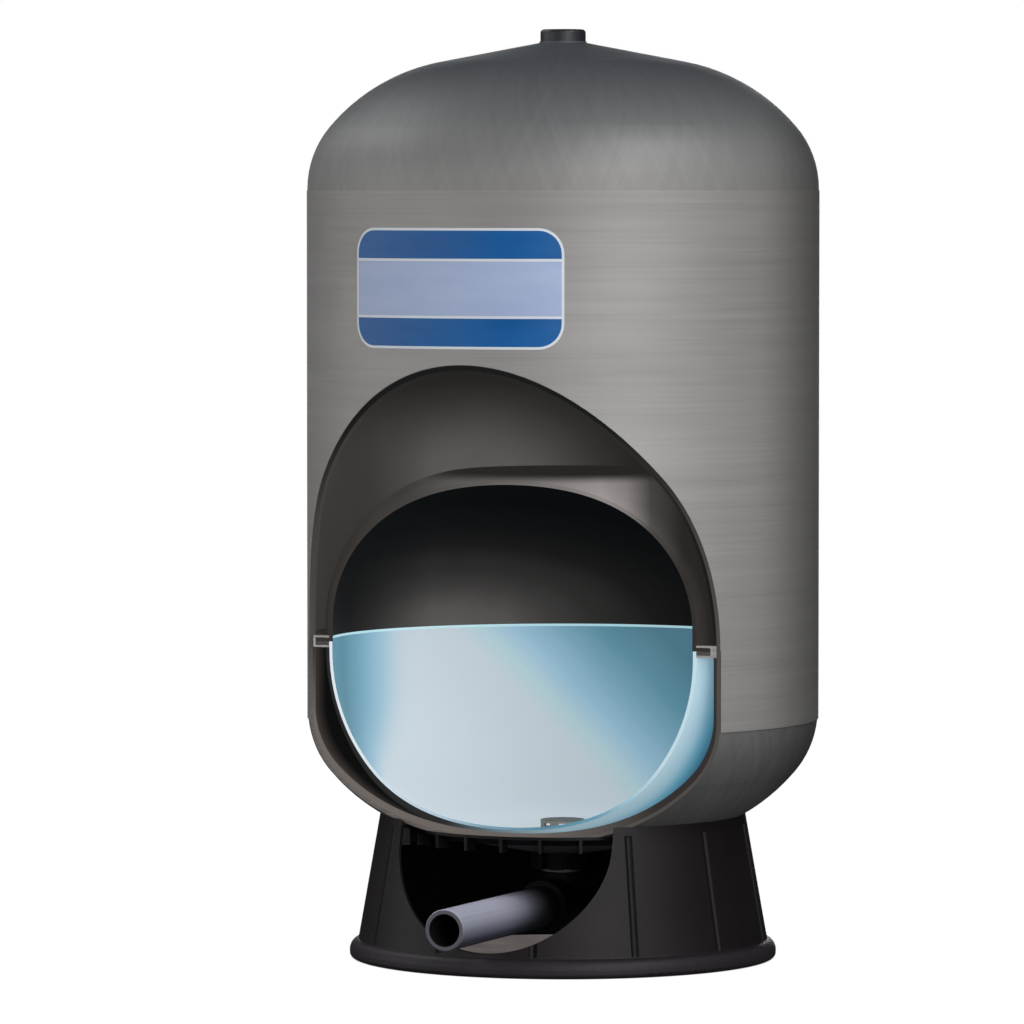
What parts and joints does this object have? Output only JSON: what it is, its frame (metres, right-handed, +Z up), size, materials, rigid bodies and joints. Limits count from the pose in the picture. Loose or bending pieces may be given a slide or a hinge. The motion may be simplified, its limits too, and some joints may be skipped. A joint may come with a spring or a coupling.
{
  "type": "fiberglass pressure tank",
  "caption": "Upright fiberglass diaphragm pressure tank on a moulded skirt, with a window cut through its front that shows the diaphragm and water liner.",
  "frame": {"origin": "on the floor, below the tank's axis", "axes": "+Z up along the tank's axis; the front is -Y, with the outlet pipe, the notch and the window; +X is to the right seen from the front"},
  "size_m": [0.5334, 0.5777, 0.9667],
  "materials": {
    "wound_fiberglass": "satin, fine wound bands",
    "inner_shell": "satin",
    "ring_steel": "rolled, satin",
    "diaphragm_rubber": "satin",
    "liner_plastic": "smooth",
    "boss_plastic": "moulded",
    "seal_rubber": "matte",
    "valve_brass": "turned",
    "pin_brass": "turned",
    "spring_steel": "drawn",
    "cap_plastic": "glossy",
    "fitting_plastic": "moulded",
    "nut_plastic": "moulded",
    "elbow_plastic": "moulded",
    "pipe_plastic": "extruded, satin",
    "skirt_plastic": "moulded, fine grain"
  },
  "bodies": {
    "tank": {"fiberglass_shell": "wound_fiberglass", "inner_shell_upper": "inner_shell", "inner_shell_lower": "inner_shell", "clench_ring": "ring_steel", "diaphragm": "diaphragm_rubber", "water_liner": "liner_plastic", "valve_boss": "boss_plastic", "boss_seal": "seal_rubber", "valve_stem": "valve_brass", "valve_core": "valve_brass", "valve_spring": "spring_steel", "cap_seal": "seal_rubber", "inlet_fitting": "fitting_plastic", "inlet_seal": "seal_rubber", "lock_nut": "nut_plastic", "diffuser": "fitting_plastic", "elbow": "elbow_plastic", "outlet_pipe": "pipe_plastic", "base_skirt": "skirt_plastic"},
    "cap": {"air_valve_cap": "cap_plastic"},
    "pin": {"valve_pin": "pin_brass"}
  },
  "joints": [
    {"name": "cap_lift", "type": "slide", "parent": "tank", "child": "cap", "axis": [0, 0, 1], "range_m": [0, 0.03]},
    {"name": "valve_press", "type": "slide", "parent": "tank", "child": "pin", "axis": [0, 0, -1], "range_m": [0, 0.0015], "stiffness_N_per_m": 2000, "springref_m": -0.002, "deforming": ["valve_spring"]}
  ]
}
